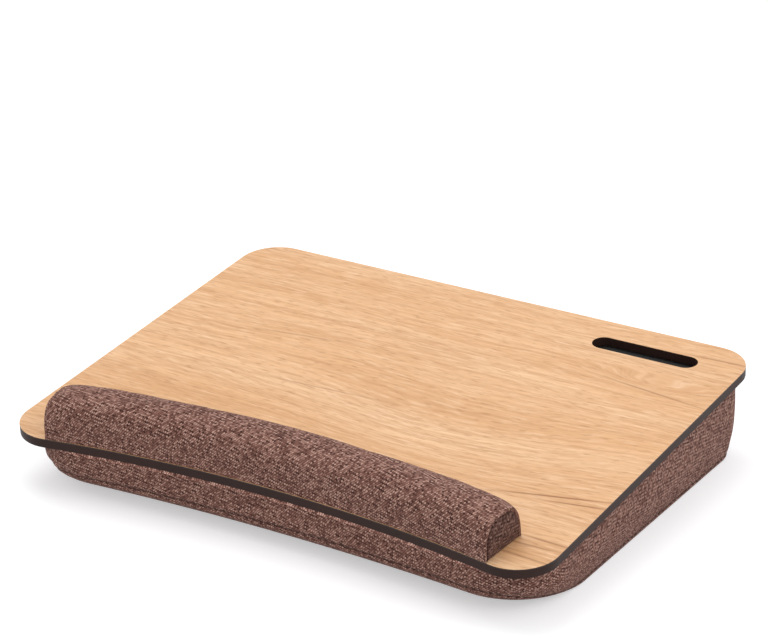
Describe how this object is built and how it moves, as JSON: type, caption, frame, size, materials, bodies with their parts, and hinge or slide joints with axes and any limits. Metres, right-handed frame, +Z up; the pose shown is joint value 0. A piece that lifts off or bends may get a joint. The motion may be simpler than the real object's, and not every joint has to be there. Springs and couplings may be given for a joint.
{
  "type": "laptop tray",
  "caption": "Cushioned lap tray: oak-faced board with a hollowed front edge, a padded wrist rest and a phone slot, on a wedge cushion in a zipped fabric cover.",
  "frame": {"origin": "on the floor, under the middle of the whole outline seen from above", "axes": "+X to the right of a person using the tray, +Y to the rear (the high side), +Z up"},
  "size_m": [0.434, 0.3413, 0.0835],
  "materials": {
    "oak": "oak-grain laminate, satin",
    "core": "fibreboard, raw",
    "lining": "dark balancing sheet, matt",
    "edging": "dark edging, satin",
    "plywood": "plywood, raw",
    "foam": "soft open-cell foam",
    "fabric": "brown melange weave",
    "binding": "lighter woven tape",
    "lining_cloth": "plain dark lining cloth",
    "grip": "hook and loop tape, black",
    "screw_steel": "zinc plated",
    "zip_tape": "woven zip tape, dark brown",
    "zip_teeth": "nylon coil, dark brown",
    "zip_metal": "dark bronze"
  },
  "bodies": {
    "tray": {"board_core": "core", "oak_top": "oak", "backing_sheet": "lining", "edge_band": "edging", "slot_edging": "edging", "wrist_strip": "plywood", "wrist_foam": "foam", "wrist_cover": "fabric", "wrist_end_left": "fabric", "wrist_end_right": "fabric", "wrist_screws": "screw_steel", "hook_strips": "grip", "loop_strips": "grip", "cushion_foam": "foam", "cover_top": "lining_cloth", "cover_binding": "binding", "cover_band": "fabric", "cover_bottom": "fabric", "rear_panel_upper": "fabric", "rear_panel_lower": "fabric", "zip_tape_upper": "zip_tape", "zip_tape_lower": "zip_tape", "zip_teeth_upper": "zip_teeth", "zip_teeth_lower": "zip_teeth", "zip_stops": "zip_metal"},
    "zip_slider": {"zip_slider": "zip_metal"},
    "zip_pull": {"zip_pull": "zip_metal"}
  },
  "joints": [
    {"name": "zip_slide", "type": "slide", "parent": "tray", "child": "zip_slider", "axis": [1, 0, 0], "range_m": [-0.2882, 0]},
    {"name": "zip_pull_hinge", "type": "hinge", "parent": "zip_slider", "child": "zip_pull", "pos_m": [0.1441, 0.1667, 0.03324], "axis": [0, -0.0416, -0.9991], "range_deg": [0, 175]}
  ]
}
